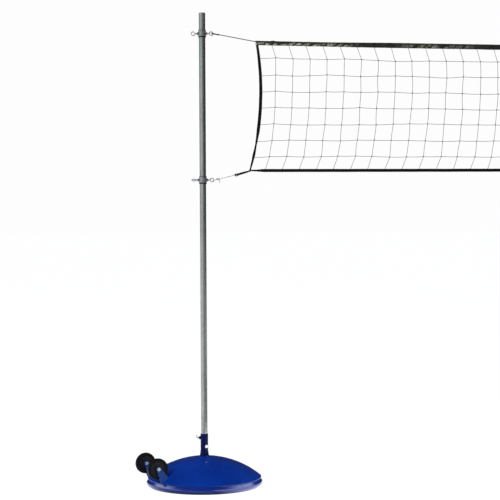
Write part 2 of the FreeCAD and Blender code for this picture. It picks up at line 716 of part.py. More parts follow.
def left_strap():
    """Webbing strap from the bottom tape's end out to the tie cord."""
    tape_end = Vector(BOTTOM_GAP - HALF_SPACING, 0, BOTTOM_END_Z)
    aim = tape_end - strap_end()
    pitch = math.degrees(math.atan2(aim.z, aim.x))
    strap = Part.makeBox(aim.Length - 2.5 * STRAP_GAP, STRAP_THICK, STRAP_WIDTH,
                         Vector(STRAP_GAP, -STRAP_THICK / 2.0, -STRAP_WIDTH / 2.0))
    strap.Placement = FreeCAD.Placement(strap_end(), Rotation(ALONG_Y, -pitch))
    return strap


def net():
    """All parts of the net, in their places, by name."""
    parts = {
        "netting": netting(),
        "top_tape": top_tape(),
        "bottom_tape": bottom_tape(),
        "headline": headline(),
        "headline_sleeves": headline_sleeves(),
    }
    for name, shape in (("side_tape", left_side_tape()), ("tie_cord", left_tie_cord()),
                        ("tie_knots", left_knots()), ("corner_strap", left_strap())):
        parts["left_" + name] = shape
        parts["right_" + name] = half_turned(shape)
    return parts


def save(name, shape):
    print("%-26s %2d solid(s) %12.1f mm3 valid %s"
          % (name, len(shape.Solids), shape.Volume, shape.isValid()))
    shape.exportStep("parts/%s.step" % name)


os.makedirs("parts", exist_ok=True)
for part_name, part_shape in standard().items():
    right = half_turned(part_shape)
    right.translate(ALONG_X * HALF_SPACING)
    left = part_shape.copy()
    left.translate(ALONG_X * -HALF_SPACING)
    save("left_" + part_name, left)
    save("right_" + part_name, right)
for part_name, part_shape in net().items():
    save(part_name, part_shape)
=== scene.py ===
import math
import random

import bpy
from mathutils import Matrix, Vector, noise


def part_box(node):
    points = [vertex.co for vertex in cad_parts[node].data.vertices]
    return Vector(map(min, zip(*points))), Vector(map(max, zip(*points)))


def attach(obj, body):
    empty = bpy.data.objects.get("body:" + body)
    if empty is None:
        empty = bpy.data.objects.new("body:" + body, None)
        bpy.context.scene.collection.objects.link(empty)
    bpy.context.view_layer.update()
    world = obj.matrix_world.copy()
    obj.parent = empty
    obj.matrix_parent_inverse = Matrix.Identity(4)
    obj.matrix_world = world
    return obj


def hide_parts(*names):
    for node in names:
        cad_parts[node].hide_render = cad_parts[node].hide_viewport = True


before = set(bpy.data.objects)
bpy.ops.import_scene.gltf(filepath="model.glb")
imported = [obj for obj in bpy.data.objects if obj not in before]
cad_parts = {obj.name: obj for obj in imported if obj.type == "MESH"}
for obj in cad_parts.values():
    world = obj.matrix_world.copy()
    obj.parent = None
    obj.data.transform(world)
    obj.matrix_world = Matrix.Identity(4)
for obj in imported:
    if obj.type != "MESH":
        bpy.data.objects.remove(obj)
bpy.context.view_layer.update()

# Volleyball net on two wheeled standards. Metres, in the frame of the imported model:
# origin on the floor midway between the posts, +X along the net, +Z up.

MM = 0.001


def box_of(node):
    low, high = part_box(node)
    return Vector(low), Vector(high)


POST_LOW, POST_HIGH = box_of("left_post")
HALF_SPACING = -(POST_LOW.x + POST_HIGH.x) / 2.0


def clamped(share):
    return min(1.0, max(0.0, share))


def smooth_share(share):
    """0 to 1 with a soft start and a soft end."""
    return share * share * (3.0 - 2.0 * share)


def smooth_noise(*values):
    return noise.noise(Vector(values))


def whole_turn(steps):
    return [2.0 * math.pi * step / steps for step in range(steps)]


def net_places(half, count):
    """Even places from one end of the net to the other."""
    return [-half + 2.0 * half * index / count for index in range(count + 1)]


# -------- camera and light

VIEW_DISTANCE = 8.0
VIEW_WIDTH = 2.745              # across the picture, at the net
EYE_HEIGHT = 1.46
EYE_OFFSET = 0.2565             # the eye stands this far along the net from the left post
TILT_DOWN = 1.21                # degrees
ROLL = -0.28                    # degrees

# Softboxes. Places and aims count from the foot of each post.
KEY_PLACE, KEY_AIM = (-3.4, -4.2, 4.6), (0.0, 0.0, 1.2)
KEY_SIZE, KEY_POWER = (3.2, 3.2), 290.0
CARD_PLACE, CARD_AIM = (0.70, -0.33, 0.10), (0.0, 0.03, 0.10)
CARD_SIZE, CARD_POWER = (1.5, 0.18), 0.9

# What the pieces reflect: the strength of each pale area
WALL_LIGHT = 0.44               # a wall on the left
PANEL_LIGHT = 1.7               # soft panels above both sides
DIM_LIGHT = 0.035               # what is left all round
FLOOR_GLOW_LEFT = 0.82          # the floor on the left, from about a metre away
FLOOR_GLOW_RIGHT = 1.1          # the floor close to the base, on the right and behind
FLOOR_GLOW_SEEN = 0.91          # the floor as the camera sees it

# Their edges, by direction. Each (axis, full, none) fades from 1 at full to 0 at none.
WALL_EDGES = (("X", -0.6, 0.7), ("Y", 0.45, 0.8), ("Z", 0.15, 0.32))
WALL_FRONT = ("Y", -0.8, 0.3)   # the wall is brighter towards the front
WALL_BASIC = 1.3                # its factor elsewhere, which the front adds 1 to
PANEL_EDGES = (("Y", 0.35, 0.6), ("Z", 0.36, 0.24), ("Z", 0.62, 0.78))
RIGHT_PANEL_EDGE = ("X", 0.45, 0.2)
LEFT_PANEL_EDGE = ("X", -0.85, -0.6)
FLOOR_HALF = 150.0


def add_camera():
    data = bpy.data.cameras.new("camera")
    data.sensor_width = 36.0
    data.lens = data.sensor_width / (VIEW_WIDTH / VIEW_DISTANCE)
    data.clip_end = 500.0
    eye = bpy.data.objects.new("camera", data)
    eye.location = (EYE_OFFSET - HALF_SPACING, -VIEW_DISTANCE, EYE_HEIGHT)
    eye.rotation_mode = "XYZ"
    upright = Matrix.Rotation(math.radians(90.0 - TILT_DOWN), 4, "X")
    eye.rotation_euler = (upright @ Matrix.Rotation(math.radians(ROLL), 4, "Z")).to_euler("XYZ")
    bpy.context.scene.collection.objects.link(eye)
    bpy.context.scene.camera = eye


def add_softbox(name, foot, place, aim, size, power, reflected=False):
    data = bpy.data.lights.new(name, "AREA")
    data.shape = "RECTANGLE"
    data.size, data.size_y = size
    data.energy = power
    lamp = bpy.data.objects.new(name, data)
    lamp.location = foot + Vector(place)
    lamp.rotation_mode = "QUATERNION"
    lamp.rotation_quaternion = (Vector(aim) - Vector(place)).to_track_quat("-Z", "Y")
    lamp.visible_glossy = reflected
    bpy.context.scene.collection.objects.link(lamp)


def add_softboxes():
    for sign in (-1.0, 1.0):
        foot = Vector((sign * HALF_SPACING, 0.0, 0.0))
        add_softbox("key", foot, KEY_PLACE, KEY_AIM, KEY_SIZE, KEY_POWER)
        add_softbox("low_card", foot, CARD_PLACE, CARD_AIM, CARD_SIZE, CARD_POWER, reflected=True)


def new_node(tree, kind, inputs, output=0, **settings):
    """Adds a node. Sockets among its inputs are linked and values are set. Returns one output."""
    node = tree.nodes.new("ShaderNode" + kind)
    for name, value in settings.items():
        setattr(node, name, value)
    for name, value in inputs.items():
        if isinstance(value, bpy.types.NodeSocket):
            tree.links.new(value, node.inputs[name])
        else:
            node.inputs[name].default_value = value
    return node.outputs[output]


def arithmetic(tree, operation, first, second):
    return new_node(tree, "Math", {0: first, 1: second}, operation=operation)


def on_axis(tree, where, axis):
    return new_node(tree, "SeparateXYZ", {"Vector": where}, axis)


def add_world():
    """White behind everything. The pieces reflect a low wall on the left and high panels beside them."""
    world = bpy.data.worlds.new("studio")
    world.use_nodes = True
    tree = world.node_tree
    tree.nodes.clear()
    direction = new_node(tree, "TexCoord", {}, "Generated")

    def combined(operation, first, second):
        return arithmetic(tree, operation, first, second)

    def fading(edges):
        """Product of the smooth steps at the edges."""
        product = 1.0
        for axis, full, none in edges:
            rising = float(none < full)
            step = new_node(tree, "MapRange", {
                "Value": on_axis(tree, direction, axis), "From Min": min(full, none),
                "From Max": max(full, none), "To Min": 1.0 - rising, "To Max": rising,
            }, interpolation_type="SMOOTHSTEP")
            product = combined("MULTIPLY", product, step)
        return product

    wall = combined("MULTIPLY", fading(WALL_EDGES),
                    combined("ADD", fading((WALL_FRONT,)), WALL_BASIC))
    panels = combined("ADD", fading((RIGHT_PANEL_EDGE,) + PANEL_EDGES),
                      fading((LEFT_PANEL_EDGE,) + PANEL_EDGES))
    strength = combined("ADD", combined("MULTIPLY", wall, WALL_LIGHT),
                        combined("MULTIPLY", panels, PANEL_LIGHT))
    dim = new_node(tree, "Background", {"Color": (0.95, 0.98, 1.0, 1.0),
                                        "Strength": combined("ADD", strength, DIM_LIGHT)})
    white = new_node(tree, "Background", {"Color": (0.985, 0.985, 0.985, 1.0)})
    seen = new_node(tree, "LightPath", {}, "Is Camera Ray")
    chosen = new_node(tree, "MixShader", {"Fac": seen, 1: dim, 2: white})
    output = tree.nodes.new("ShaderNodeOutputWorld")
    tree.links.new(chosen, output.inputs["Surface"])
    bpy.context.scene.world = world


def add_stage():
    """Plain pale floor, wide enough for every view. It looks white, and lights the pieces near a base."""
    half = FLOOR_HALF
    mesh = bpy.data.meshes.new("floor")
    corners = [(-half, -half, 0), (half, -half, 0), (half, half, 0), (-half, half, 0)]
    mesh.from_pydata(corners, [], [(0, 1, 2, 3)])
    floor = bpy.data.objects.new("floor", mesh)
    bpy.context.scene.collection.objects.link(floor)
    paint = Paint("floor_white", roughness=0.9)
    paint.set("Base Color", (0.25, 0.25, 0.25, 1.0))
    paint.set("Specular IOR Level", 0.0)
    paint.set("Emission Color", (1.0, 1.0, 1.0, 1.0))
    place = paint.place()
    across, behind = paint.axis(place, "X"), paint.axis(place, "Y")
    post_x = paint.math("MULTIPLY", paint.math("SIGN", across), HALF_SPACING)
    aside = paint.math("SUBTRACT", across, post_x)
    squares = paint.math("ADD", paint.math("MULTIPLY", aside, aside),
                         paint.math("MULTIPLY", behind, behind))
    distance = paint.math("SQRT", squares)
    sideways = paint.math("DIVIDE", aside, distance)
    left = paint.math("MULTIPLY", paint.steps(sideways, FLOOR_GLOW_LEFT, 0.0, -0.6, 0.7),
                      paint.steps(distance, 0.0, 1.0, 0.7, 1.3))
    slanting = paint.math("ADD", aside, paint.math("MULTIPLY", behind, 0.36))
    right = paint.steps(slanting, 0.0, 1.0, -0.03, 0.16)
    back = paint.steps(behind, 0.0, 1.0, -0.28, -0.05)
    near = paint.math("MULTIPLY", paint.steps(distance, FLOOR_GLOW_RIGHT, 0.0, 1.1, 1.9),
                      paint.math("MAXIMUM", right, back))
    thrown = paint.math("ADD", paint.math("MAXIMUM", left, near), DIM_LIGHT)
    seen = new_node(paint.tree, "LightPath", {}, "Is Camera Ray")
    unseen = paint.math("MULTIPLY", thrown, paint.math("SUBTRACT", 1.0, seen))
    glow = paint.math("ADD", unseen, paint.math("MULTIPLY", seen, FLOOR_GLOW_SEEN))
    paint.link(glow, "Emission Strength")
    mesh.materials.append(paint.material)


# -------- materials

class Paint:
    """A Principled material that is built up by short calls."""

    def __init__(self, name, roughness=0.5, metallic=0.0):
        self.material = bpy.data.materials.new(name)
        self.material.use_nodes = True
        self.tree = self.material.node_tree
        self.shader = self.tree.nodes["Principled BSDF"]
        self.coordinates = self.tree.nodes.new("ShaderNodeTexCoord")
        self.set("Roughness", roughness)
        self.set("Metallic", metallic)

    def set(self, socket, value):
        self.shader.inputs[socket].default_value = value

    def link(self, source, socket):
        self.tree.links.new(source, self.shader.inputs[socket])

    def node(self, kind, inputs, output=0, **settings):
        return new_node(self.tree, kind, inputs, output, **settings)

    def place(self, source="Object", scale=(1.0, 1.0, 1.0), turn=(0.0, 0.0, 0.0)):
        return self.node("Mapping", {"Vector": self.coordinates.outputs[source], "Scale": scale,
                                     "Rotation": turn})

    def axis(self, where, axis):
        return on_axis(self.tree, where, axis)

    def noise(self, where, scale, detail=3.0, rough=0.55):
        return self.node("TexNoise", {"Vector": where, "Scale": scale, "Detail": detail,
                                      "Roughness": rough}, "Fac")

    def cells(self, where, scale, output="Color"):
        return self.node("TexVoronoi", {"Vector": where, "Scale": scale}, output)

    def waves(self, where, scale, distortion=0.0, direction="X"):
        return self.node("TexWave", {"Vector": where, "Scale": scale, "Distortion": distortion},
                         "Fac", bands_direction=direction)

    def woven(self, weft, warp, waver):
        """Weave along the UV axes, from how fine its threads are."""
        cloth = self.place("UV")
        return self.math("MULTIPLY", self.waves(cloth, weft, waver), self.waves(cloth, warp, waver, "Y"))

    def ramp(self, value, stops):
        """Colour ramp from (position, colour) stops."""
        node = self.tree.nodes.new("ShaderNodeValToRGB")
        elements = node.color_ramp.elements
        while len(elements) < len(stops):
            elements.new(0.5)
        for element, (position, colour) in zip(elements, stops):
            element.position = position
            element.color = (*colour, 1.0)
        self.tree.links.new(value, node.inputs["Fac"])
        return node.outputs["Color"]

    def steps(self, value, low, high, start=0.0, end=1.0):
        """Straight rise or fall from low at start to high at end."""
        return self.node("MapRange", {"Value": value, "From Min": start, "From Max": end,
                                      "To Min": low, "To Max": high})

    def math(self, operation, first, second=0.0):
        return arithmetic(self.tree, operation, first, second)

    def mix(self, factor, first, second):
        """Mix of two colours, each a socket or an RGB tuple."""
        first, second = ((*colour, 1.0) if isinstance(colour, tuple) else colour
                         for colour in (first, second))
        return self.node("Mix", {"Factor": factor, 6: first, 7: second}, 2, data_type="RGBA")

    def bump(self, height, strength, distance):
        """Relief on top of the relief that is there already."""
        inputs = {"Strength": strength, "Distance": distance, "Height": height}
        previous = self.shader.inputs["Normal"].links
        if previous:
            inputs["Normal"] = previous[0].from_socket
        self.link(self.node("Bump", inputs), "Normal")


def galvanised_steel():
    """Zinc-coated tube: crystals of slightly different grey, and a soft vertical drawing grain."""
    paint = Paint("galvanised", metallic=1.0)
    where = paint.place()
    spangle = paint.cells(where, 95.0)
    grey = paint.ramp(spangle, [(0.0, (0.27, 0.297, 0.29)), (1.0, (0.39, 0.422, 0.412))])
    stain = paint.steps(paint.noise(where, 9.0, 5.0), 0.0, 1.0, 0.38, 0.72)
    paint.link(paint.mix(stain, grey, (0.42, 0.44, 0.42)), "Base Color")
    grain = paint.noise(paint.place(scale=(1.0, 1.0, 0.03)), 700.0, 2.0)
    paint.link(paint.steps(grain, 0.17, 0.3, 0.3, 0.7), "Roughness")
    paint.bump(grain, 0.15, 0.0003)
    paint.bump(spangle, 0.1, 0.0003)
    return paint.material


def collar_steel():
    """Zinc-coated collar: duller than the tube, with painted shade along its lower edge and less along
    its upper edge.
    """
    paint = Paint("collar_zinc", metallic=1.0)
    where = paint.place()
    mottle = paint.noise(where, 60.0, 5.0, 0.6)
    grey = paint.ramp(mottle, [(0.35, (0.24, 0.265, 0.26)), (0.7, (0.42, 0.45, 0.44))])
    above_lower = paint.math("SUBTRACT", paint.axis(where, "Z"), LOWER_RING_Z - COLLAR_REACH)
    height = paint.math("MODULO", above_lower, UPPER_RING_Z - LOWER_RING_Z)
    # painted shade: the collar turns near black at its lower edge and partly dark at its upper edge
    edge = paint.math("ADD", paint.steps(height, 1.0, 0.0, 0.004, 0.009),
                      paint.steps(height, 0.0, 0.45, 0.036, 0.040))
    paint.link(paint.mix(edge, grey, (0.022, 0.026, 0.024)), "Base Color")
    paint.link(paint.steps(mottle, 0.22, 0.4, 0.3, 0.7), "Roughness")
    paint.bump(mottle, 0.4, 0.0006)
    return paint.material


def gloss_enamel(name, deep, bright, gloss, coat=0.0):
    """Gloss paint with orange peel, slight unevenness, dull scuffs and a little dust."""
    paint = Paint(name, roughness=0.2)
    paint.set("Specular IOR Level", gloss)
    paint.set("Coat Weight", coat)
    paint.set("Coat IOR", 2.0)
    paint.set("Specular Tint", (1.0 - 0.9 * coat, 1.0 - 0.75 * coat, 1.0, 1.0))
    where = paint.place()
    colour = paint.ramp(paint.noise(where, 6.0, 4.0), [(0.3, deep), (0.7, bright)])
    scuff = paint.noise(paint.place(scale=(1.0, 1.0, 2.2)), 38.0, 9.0, 0.7)
    scuffed = paint.steps(scuff, 0.0, 1.0, 0.68, 0.8)
    worn = tuple(0.85 * channel + 0.012 for channel in bright)
    paint.link(paint.mix(scuffed, colour, worn), "Base Color")
    paint.link(paint.steps(scuffed, 0.17, 0.5), "Roughness")
    paint.bump(paint.noise(where, 420.0, 2.0), 0.06, 0.0004)
    paint.bump(paint.noise(where, 14.0, 2.0), 0.05, 0.003)
    return paint.material


def zinc_plate():
    """Bright plated bolts, nuts and eyebolts, with turned marks and a slightly uneven tone."""
    paint = Paint("bright_zinc", metallic=1.0)
    where = paint.place()
    tone = paint.noise(where, 130.0, 5.0)
    paint.link(paint.ramp(tone, [(0.3, (0.66, 0.68, 0.72)), (0.7, (0.84, 0.86, 0.90))]), "Base Color")
    paint.link(paint.steps(paint.noise(where, 500.0, 3.0), 0.22, 0.42), "Roughness")
    paint.bump(paint.waves(where, 520.0, 1.5), 0.12, 0.0002)
    return paint.material


def wheel_rubber():
    paint = Paint("wheel_rubber")
    paint.set("Specular IOR Level", 0.15)
    where = paint.place()
    dust = paint.ramp(paint.noise(where, 60.0, 7.0, 0.65),
                      [(0.45, (0.004, 0.004, 0.0045)), (0.8, (0.018, 0.017, 0.016))])
    paint.link(dust, "Base Color")
    paint.link(paint.steps(paint.noise(where, 210.0, 4.0), 0.28, 0.5), "Roughness")
    paint.bump(paint.noise(where, 900.0, 2.0), 0.2, 0.0003)
    return paint.material


def wheel_plastic():
    paint = Paint("wheel_plastic")
    paint.set("Specular IOR Level", 0.35)
    where = paint.place()
    tone = paint.noise(where, 45.0, 4.0)
    black = paint.ramp(tone, [(0.3, (0.004, 0.004, 0.006)), (0.8, (0.012, 0.012, 0.014))])
    paint.link(black, "Base Color")
    paint.link(paint.steps(paint.noise(where, 300.0, 3.0), 0.25, 0.42), "Roughness")
    paint.bump(paint.cells(where, 1400.0, "Distance"), 0.1, 0.0002)
    return paint.material


def concrete():
    paint = Paint("concrete", roughness=0.9)
    where = paint.place()
    sand = paint.noise(where, 120.0, 8.0, 0.7)
    paint.link(paint.ramp(sand, [(0.3, (0.30, 0.29, 0.27)), (0.75, (0.52, 0.51, 0.48))]), "Base Color")
    paint.bump(sand, 0.6, 0.001)
    return paint.material


def dull_rubber(name, roughness, dark, light, patches, grain):
    """Rubber or soft plastic: uneven in patches, with a fine grain."""
    paint = Paint(name, roughness=roughness)
    where = paint.place()
    paint.link(paint.ramp(paint.noise(where, *patches), [(0.3, dark), (0.8, light)]), "Base Color")
    scale, depth = grain
    paint.bump(paint.noise(where, scale, 3.0), 0.3, depth)
    return paint.material


def foot_rubber():
    return dull_rubber("foot_rubber", 0.8, (0.015, 0.015, 0.015), (0.06, 0.058, 0.055),
                       (80.0, 6.0), (600.0, 0.0005))


def sleeve_black():
    return dull_rubber("sleeve_black", 0.45, (0.006, 0.006, 0.006), (0.02, 0.02, 0.02),
                       (200.0, 4.0), (700.0, 0.0004))


def laid_line(name, roughness, dark, light, patches, slant, strands, relief):
    """Twisted or braided line: uneven in patches, with strands that cross it at a slant."""
    paint = Paint(name, roughness=roughness)
    tone = paint.noise(paint.place(), *patches)
    paint.link(paint.ramp(tone, [(0.3, dark), (0.75, light)]), "Base Color")
    paint.bump(paint.waves(paint.place(turn=(0.0, slant, 0.0)), *strands), *relief)
    return paint.material


def twine_nylon():
    return laid_line("net_twine", 0.7, (0.06, 0.06, 0.063), (0.13, 0.13, 0.135),
                     (40.0, 5.0), 0.6, (330.0, 0.6), (0.8, 0.0004))


def tie_line_braid():
    return laid_line("tie_line", 0.6, (0.40, 0.40, 0.38), (0.62, 0.61, 0.58),
                     (160.0, 4.0), 0.7, (260.0, 0.8), (0.7, 0.0006))


def cable_grey():
    return laid_line("cable_grey", 0.5, (0.07, 0.07, 0.075), (0.16, 0.16, 0.165),
                     (120.0, 4.0), 0.75, (240.0, 0.3), (0.6, 0.0004))


def black_webbing():
    """Woven black tape: a fine weave seen in bump and colour, with faint fading."""
    paint = Paint("black_webbing", roughness=0.75)
    paint.set("Specular IOR Level", 0.07)
    weave = paint.woven(260.0, 300.0, 0.4)
    fade = paint.noise(paint.place(), 22.0, 5.0)
    base = paint.ramp(fade, [(0.3, (0.002, 0.002, 0.002)), (0.8, (0.007, 0.007, 0.0065))])
    paint.link(paint.mix(weave, base, (0.006, 0.006, 0.0055)), "Base Color")
    paint.bump(weave, 0.7, 0.0006)
    return paint.material


def headband_vinyl():
    """Folded headband: black along the fold; lower down, on its creases and mostly near its ends, khaki
    grey that is partly rubbed wear and partly painted sheen.
    """
    paint = Paint("headband", roughness=0.55)
    paint.set("Specular IOR Level", 0.3)
    along = paint.place("UV")

    def patches(along_scale, across_scale, detail, rough=0.55):
        where = paint.place("UV", scale=(along_scale, across_scale, 1.0))
        return paint.noise(where, 1.0, detail, rough)

    streak = patches(60.0, 150.0, 5.0, 0.65)
    mottle = patches(26.0, 40.0, 3.0)
    wander = patches(11.0, 0.0, 3.0)
    spotting = patches(1.6, 0.0, 4.0)
    creases = paint.waves(paint.place("UV", turn=(0.0, 0.0, 0.9)), 9.0, 9.0)
    from_middle = paint.math("ABSOLUTE", paint.math("SUBTRACT", paint.axis(along, "X"), TOP_HALF))
    from_end = paint.math("SUBTRACT", TOP_HALF, from_middle)
    worn = paint.math("MAXIMUM", paint.steps(from_end, 1.0, 0.0, 0.47, 0.57),
                      paint.steps(spotting, 0.0, 0.6, 0.52, 0.6))
    from_fold = paint.math("ABSOLUTE", paint.axis(along, "Y"))
    reach = paint.math("ADD", paint.steps(wander, 0.006, 0.019, 0.35, 0.65),
                       paint.steps(from_end, 0.003, 0.0, 0.12, 0.25))
    lower = paint.steps(paint.math("SUBTRACT", from_fold, reach), 0.0, 1.0, 0.0, 0.005)
    crease_rub_and_sheen = paint.math("MULTIPLY", paint.steps(creases, 0.0, 1.0, 0.12, 0.4),
                            paint.steps(mottle, 0.15, 1.0, 0.36, 0.56))
    # painted sheen and wear: the lower half turns khaki grey on creases and near the ends, partly as
    # rubbed wear and partly as painted highlights
    rub_and_sheen_amount = paint.math("MULTIPLY", paint.math("MULTIPLY", lower, worn), crease_rub_and_sheen)
    khaki = paint.ramp(streak, [(0.36, (0.04, 0.045, 0.035)), (0.5, (0.20, 0.21, 0.16)),
                                (0.62, (0.60, 0.59, 0.46))])
    black = paint.ramp(mottle, [(0.3, (0.004, 0.005, 0.0035)), (0.75, (0.022, 0.025, 0.018))])
    paint.link(paint.mix(rub_and_sheen_amount, black, khaki), "Base Color")
    paint.bump(paint.woven(200.0, 240.0, 0.3), 0.35, 0.0005)
    paint.bump(streak, 0.7, 0.002)
    return paint.material


# -------- mesh tools

def hand_over(piece, body, stands_for):
    """Links a finished piece, says what it rides on and hides the parts it stands for."""
    bpy.context.scene.collection.objects.link(piece)
    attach(piece, body)
    if stands_for:
        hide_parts(*stands_for)
    return piece


class Sculpt:
    """Collects the vertices, faces and UVs of one piece."""

    def __init__(self, name):
        self.name = name
        self.vertices = []
        self.faces = []
        self.uvs = []

    def loft(self, rings, closed_path=False, v_start=0.0):
        """Skin over rings of equally many points. U runs along the rings, V round each of them."""
        base = len(self.vertices)
        count = len(rings[0])
        around = [v_start]
        for first, second in zip(rings[0], rings[0][1:] + rings[0][:1]):
            around.append(around[-1] + (second - first).length)
        along = [0.0]
        for before, after in zip(rings, rings[1:] + rings[:1]):
            along.append(along[-1] + (after[0] - before[0]).length)
        for ring in rings:
            self.vertices.extend(ring)
        for i in range(len(rings) if closed_path else len(rings) - 1):
            j = (i + 1) % len(rings)
            for a in range(count):
                b = (a + 1) % count
                self.faces.append((base + i * count + a, base + i * count + b,
                                   base + j * count + b, base + j * count + a))
                self.uvs.append(((along[i], around[a]), (along[i], around[a + 1]),
                                 (along[i + 1], around[a + 1]), (along[i + 1], around[a])))
        if not closed_path:
            last = base + (len(rings) - 1) * count
            for corners in (tuple(range(base + count - 1, base - 1, -1)),
                            tuple(range(last, last + count))):
                self.faces.append(corners)
                self.uvs.append(tuple((along[0], around[0]) for _ in corners))

    def tube(self, points, radius, sides=8, closed=False):
        """Round tube along points. radius is a number or a function of the share of the way."""
        rings = []
        normal = None
        total = len(points)
        for index, point in enumerate(points):
            if closed:
                tangent = points[(index + 1) % total] - points[index - 1]
            else:
                tangent = points[min(index + 1, total - 1)] - points[max(index - 1, 0)]
            tangent.normalize()
            if normal is None:
                helper = Vector((0, 1, 0)) if abs(tangent.y) < 0.9 else Vector((1, 0, 0))
                normal = tangent.cross(helper).normalized()
            normal = (normal - tangent * normal.dot(tangent)).normalized()
            side = tangent.cross(normal)
            size = radius(index / (total - 1)) if callable(radius) else radius
            ring = []
            for angle in whole_turn(sides):
                ring.append(point + (normal * math.cos(angle) + side * math.sin(angle)) * size)
            rings.append(ring)
        self.loft(rings, closed_path=closed)

    def make(self, material, body, slot, stands_for=()):
        mesh = bpy.data.meshes.new(self.name)
        mesh.from_pydata([tuple(v) for v in self.vertices], [], self.faces)
        layer = mesh.uv_layers.new(name="UVMap")
        flat = [uv for face in self.uvs for uv in face]
        for loop, uv in zip(layer.data, flat):
            loop.uv = uv
        mesh.polygons.foreach_set("use_smooth", [True] * len(mesh.polygons))
        mesh.materials.append(material)
        mesh.validate()
        return hand_over(bpy.data.objects.new(self.name, mesh), body, stands_for)

    def twins(self, ending):
        """This skin at the left end, and the same one turned half round for the right end."""
        for side, vertices in both_ends(self.vertices):
            twin = Sculpt(side + ending)
            twin.vertices, twin.faces, twin.uvs = vertices, self.faces, self.uvs
            yield side, twin


def half_turn(point):
    return Vector((-point.x, -point.y, point.z))


def both_ends(points):
    """The points at the left end, and the same ones turned half round for the right end."""
    return (("left", list(points)), ("right", [half_turn(p) for p in points]))


# -------- net lines and edges

BAND_LOW, BAND_HIGH = box_of("top_tape")
HEM_LOW, HEM_HIGH = box_of("bottom_tape")
TOP_HALF = BAND_HIGH.x
BOTTOM_HALF = HEM_HIGH.x
TOP_GAP = HALF_SPACING - TOP_HALF
BOTTOM_GAP = HALF_SPACING - BOTTOM_HALF
HEADLINE_END_Z = 2.436
BAND_ABOVE = 5.0 * MM           # the headband's reach above and below the headline
BAND_BELOW = 23.0 * MM
TOP_SAG = BAND_HIGH.z - BAND_LOW.z - BAND_ABOVE - BAND_BELOW
TAPE_HALF = 7.0 * MM            # half of the bottom tape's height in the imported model
BOTTOM_END_Z = HEM_HIGH.z - TAPE_HALF
BOTTOM_SAG = HEM_HIGH.z - HEM_LOW.z - 2.0 * TAPE_HALF
SIDE_TOP_GAP = 297.0 * MM       # post axis to the side tape's middle line, at the top
SIDE_BOTTOM_GAP = 259.0 * MM    # the same, at the bottom
SIDE_BOW = 39.5 * MM
SIDE_WIDTH = 18.0 * MM
END_DIP = 4.0 * MM
BAND_STEP = 9.0 * MM            # how finely the tapes are drawn along their length
HEM_STEP = 12.0 * MM
SIDE_STEPS = 110
# Folded height of the bottom tape, at distances from its end
HEM_HEIGHTS = [(0.0, 7.0 * MM), (0.035, 9.5 * MM), (0.085, 17.0 * MM)]
# How far the side tape is twisted at each depth below the headband, in degrees
SIDE_TWIST = [(0.0, 48.0), (0.16, 28.0), (0.38, 6.0), (0.45, 14.0), (0.515, 50.0), (0.553, 66.0),
              (0.606, 42.0), (0.638, 58.0), (0.676, 70.0)]


def headline_z(x):
    return HEADLINE_END_Z - TOP_SAG * (1.0 - (x / TOP_HALF) ** 2)


def end_dip(x):
    """How far the fold and the line in it lie lower near the headband's ends."""
    return END_DIP * (1.0 - smooth_share(clamped((TOP_HALF - abs(x) - 0.35) / 0.45)))


def bottom_z(x):
    return BOTTOM_END_Z - BOTTOM_SAG * (1.0 - (x / BOTTOM_HALF) ** 2)


def side_gap(z):
    """Distance of the side tape's middle line from the post axis at a height."""
    share = (HEADLINE_END_Z - z) / (HEADLINE_END_Z - BOTTOM_END_Z)
    chord = SIDE_TOP_GAP + (SIDE_BOTTOM_GAP - SIDE_TOP_GAP) * share
    return chord + 4.0 * SIDE_BOW * share * (1.0 - share)


def at_left(gap, z):
    """Point in the net's plane, by its distance from the left post's axis."""
    return Vector((gap - HALF_SPACING, 0.0, z))


def eased(value, table):
    """Smooth value between the (position, value) pairs of a table."""
    if value <= table[0][0]:
        return table[0][1]
    for (start, low), (end, high) in zip(table, table[1:]):
        if value <= end:
            return low + (high - low) * smooth_share((value - start) / (end - start))
    return table[-1][1]


def fold_profile(width, fold_r, edge_r, wall):
    """Section of a tape folded in two, as (distance from the fold, sideways) pairs."""
    runs, turns = 6, 8
    leg = []
    for step in range(runs):
        share = step / runs
        leg.append((width + (fold_r - width) * share, -(edge_r + (fold_r - edge_r) * share)))
    fold = []
    for step in range(turns + 1):
        angle = math.pi * step / turns
        fold.append((fold_r * (1.0 - math.sin(angle)), -fold_r * math.cos(angle)))
    outer = leg + fold + [(s, -y) for s, y in reversed(leg)]
    inner = []
    for s, y in reversed(outer):
        inset = y - math.copysign(min(wall, abs(y)), y)
        inner.append((min(max(s + (wall if s < fold_r else 0.0), wall), width), inset))
    return outer + inner


def folded_tape(name, spine, section, rumple):
    """Skin of a folded tape. spine holds (point, direction from the fold to the open edge).

    section gives the outline at an index, rumple how far a place of it is pushed along both its axes.
    """
    sculpt = Sculpt(name)
    rings = []
    total = len(spine)
    for index, (point, across) in enumerate(spine):
        before = spine[max(index - 1, 0)][0]
        after = spine[min(index + 1, total - 1)][0]
        tangent = (after - before).normalized()
        side = tangent.cross(across).normalized()
        if side.y < 0:
            side = -side
        ring = []
        for s, y in section(index):
            shift_s, shift_y = rumple(point, s, y)
            ring.append(point + across * (s + shift_s) + side * (y + shift_y))
        rings.append(ring)
    sculpt.loft(rings, v_start=-0.03)
    return sculpt


def face_of(y):
    """1 on the tape's back, -1 on its front."""
    return 1.0 if y > 0 else -1.0


